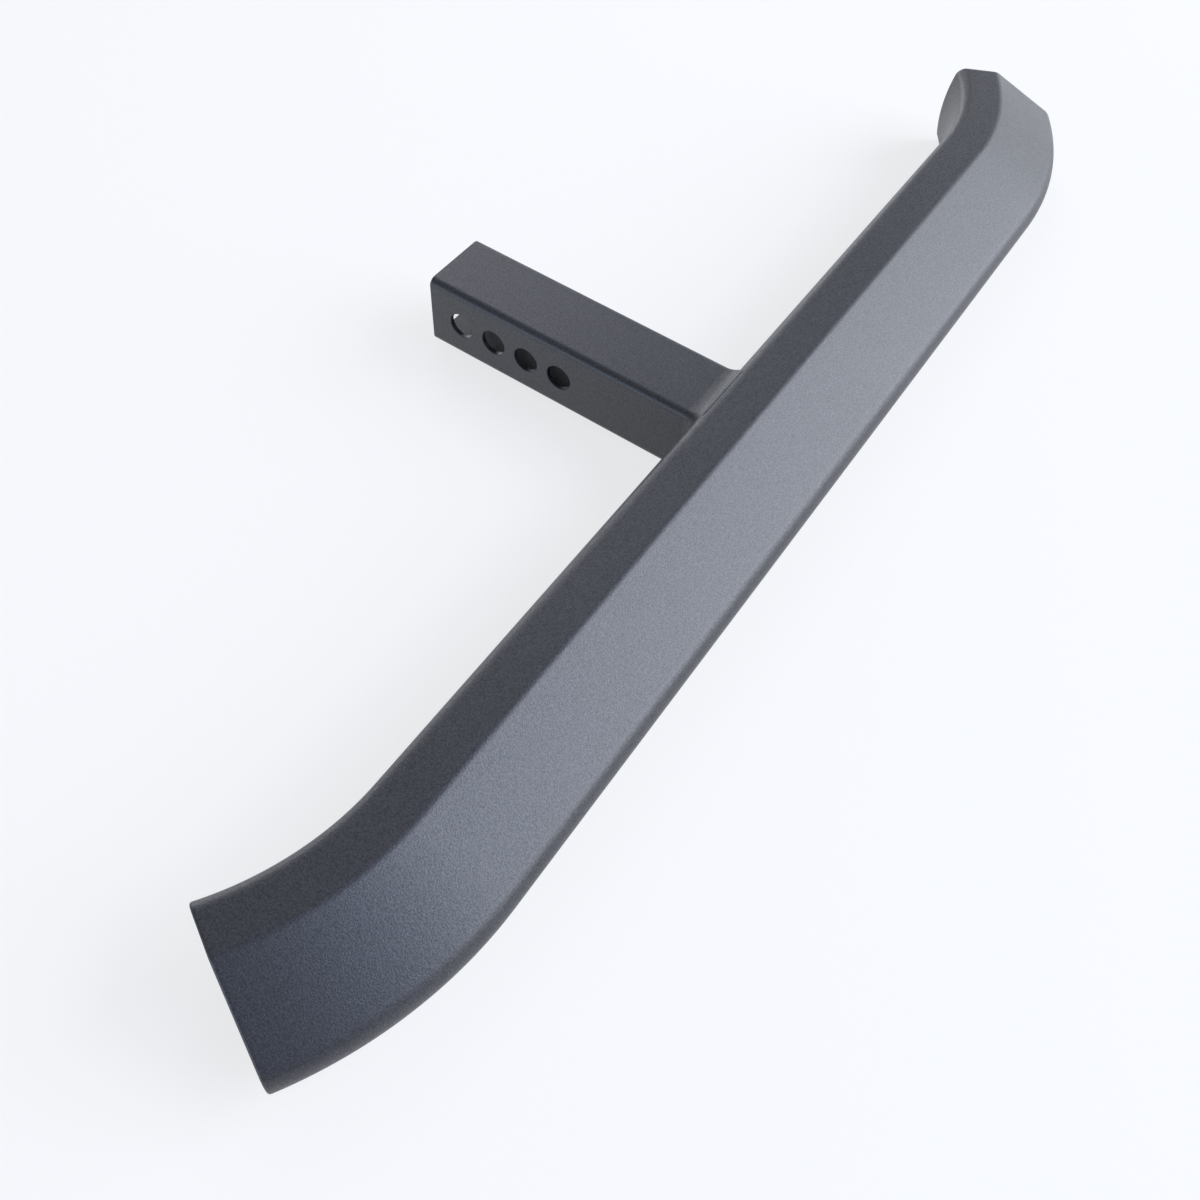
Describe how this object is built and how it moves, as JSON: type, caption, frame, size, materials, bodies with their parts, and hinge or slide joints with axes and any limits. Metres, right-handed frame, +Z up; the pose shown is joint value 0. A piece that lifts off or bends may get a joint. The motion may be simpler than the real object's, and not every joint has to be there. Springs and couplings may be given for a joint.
{
  "type": "hitch receiver step",
  "caption": "Tubular rear step with swept-back ends on a square drawbar that slides into a tow hitch receiver and is held by a cross pin.",
  "frame": {"origin": "centre of the cross pin hole nearest the drawbar's free end, half way between the drawbar's sides", "axes": "+X along the pin holes and the step bar, to the right hand of someone facing the vehicle from behind; +Y along the drawbar from the step bar towards the vehicle; +Z up"},
  "size_m": [0.8768, 0.2795, 0.062],
  "materials": {
    "coated_bar": "fine textured dark grey powder coat on formed steel tube",
    "coated_plate": "fine textured dark grey powder coat on steel plate",
    "coated_drawbar": "fine textured dark grey powder coat on square steel tube",
    "coated_weld": "powder-coated steel weld"
  },
  "bodies": {
    "root": {"step_bar": "coated_bar", "end_plate_right": "coated_plate", "end_plate_left": "coated_plate", "drawbar_tube": "coated_drawbar", "weld_fillet": "coated_weld"}
  },
  "joints": []
}
